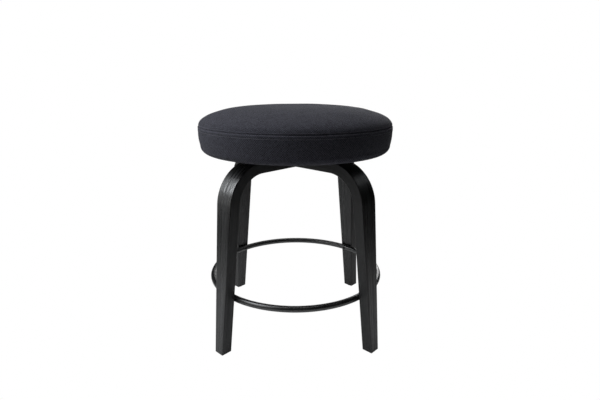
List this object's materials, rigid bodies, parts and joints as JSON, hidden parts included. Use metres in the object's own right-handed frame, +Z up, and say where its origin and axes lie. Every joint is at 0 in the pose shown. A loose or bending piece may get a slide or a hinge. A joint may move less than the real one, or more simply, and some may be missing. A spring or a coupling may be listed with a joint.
{
  "type": "swivel counter stool",
  "caption": "Counter-height stool with a round upholstered seat that swivels on a ball race, bent plywood legs and a round foot ring",
  "frame": {"origin": "on the floor, under the middle of the seat, on the swivel's upright axis", "axes": "+Z up, +X to the right and +Y to the back as the picture looks at it; the legs stand on the diagonals"},
  "size_m": [0.508, 0.508, 0.61],
  "materials": {
    "cover_cloth": "fine woven upholstery cloth, dark charcoal",
    "foam": "open-cell seat foam",
    "board_ply": "raw plywood",
    "dust_cloth": "black non-woven cloth",
    "pressed_steel": "black coated pressed steel",
    "cage_brass": "pressed sheet",
    "ball_steel": "polished and greased",
    "zinc_steel": "zinc plated",
    "nylon": "natural nylon",
    "leg_wood": "black stain, open-grain veneer, satin",
    "black_steel": "black oxide",
    "ring_paint": "black powder coat, satin",
    "insert_brass": "machined",
    "glide_nylon": "black nylon"
  },
  "bodies": {
    "base": {"leg_front_left": "leg_wood", "leg_front_right": "leg_wood", "leg_rear_left": "leg_wood", "leg_rear_right": "leg_wood", "swivel_lower_plate": "pressed_steel", "centre_rivet": "zinc_steel", "arm_bolts": "black_steel", "arm_washers": "zinc_steel", "arm_nuts": "zinc_steel", "foot_ring": "ring_paint", "ring_screws": "black_steel", "ring_inserts": "insert_brass", "glide_front_left": "glide_nylon", "glide_front_right": "glide_nylon", "glide_rear_left": "glide_nylon", "glide_rear_right": "glide_nylon", "glide_nails": "zinc_steel"},
    "seat": {"seat_cover": "cover_cloth", "seat_foam": "foam", "seat_board": "board_ply", "seat_tee_nuts": "zinc_steel", "seat_bolts": "zinc_steel", "dust_cover": "dust_cloth", "swivel_upper_plate": "pressed_steel", "thrust_washer": "nylon"},
    "bearing": {"ball_cage": "cage_brass", "swivel_balls": "ball_steel"}
  },
  "joints": [
    {"name": "seat_swivel", "type": "hinge", "parent": "base", "child": "seat", "pos_m": [0, 0, 0.4883], "axis": [0, 0, 1], "continuous": true},
    {"name": "bearing_turn", "type": "hinge", "parent": "base", "child": "bearing", "pos_m": [0, 0, 0.4883], "axis": [0, 0, 1], "continuous": true}
  ],
  "couplings": [
    {"joint": "bearing_turn", "follows": "seat_swivel", "ratio": 0.5}
  ]
}
